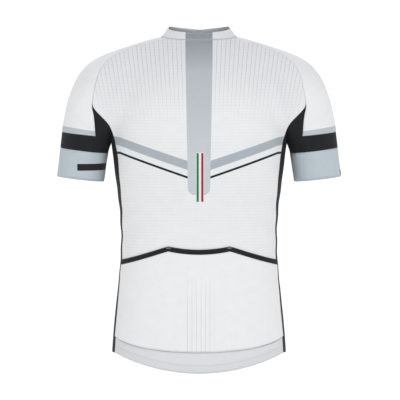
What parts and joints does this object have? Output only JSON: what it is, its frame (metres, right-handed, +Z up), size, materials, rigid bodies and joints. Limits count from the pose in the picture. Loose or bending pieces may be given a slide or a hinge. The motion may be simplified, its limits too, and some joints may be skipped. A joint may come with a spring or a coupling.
{
  "type": "cycling jersey",
  "caption": "Short-sleeved cycling jersey, filled out and hollow: full front zip, stand collar, raglan sleeves with wide cuffs, black side panels, back pocket and a dropped elastic hem.",
  "frame": {"origin": "middle of the neck opening, level with the collar seam, where the wearer's shoulders carry the garment", "axes": "+Z up along the spine, -Y towards the wearer's front (the zip), +X towards the wearer's left arm"},
  "size_m": [0.5812, 0.2425, 0.7016],
  "materials": {
    "white_knit": "fine matt polyester knit, white with a light grey print",
    "black_knit": "matt black stretch knit",
    "grey_knit": "matt grey stretch knit",
    "elastic": "matt woven elastic",
    "zip_tape": "matt woven tape",
    "zip_chain": "satin nylon coil",
    "zip_metal": "dark satin lacquer"
  },
  "bodies": {
    "garment": {"back_panel": "white_knit", "front_left": "white_knit", "front_right": "white_knit", "side_panel_left": "black_knit", "side_panel_right": "black_knit", "sleeve_left": "white_knit", "sleeve_right": "white_knit", "sleeve_band_left": "black_knit", "sleeve_band_right": "black_knit", "gusset_left": "black_knit", "gusset_right": "black_knit", "cuff_left": "grey_knit", "cuff_right": "grey_knit", "collar": "white_knit", "hem_back": "elastic", "hem_front_left": "elastic", "hem_front_right": "elastic", "pocket_panel": "white_knit", "pocket_binding": "black_knit", "zip_tape_left": "zip_tape", "zip_tape_right": "zip_tape", "zip_chain": "zip_chain", "zip_guard": "grey_knit", "zip_slider": "zip_metal"},
    "pull": {"zip_pull": "zip_metal"}
  },
  "joints": [
    {"name": "pull_swing", "type": "hinge", "parent": "garment", "child": "pull", "pos_m": [0, -0.05892, -0.0003], "axis": [-1, 0, 0], "range_deg": [0, 160]}
  ]
}
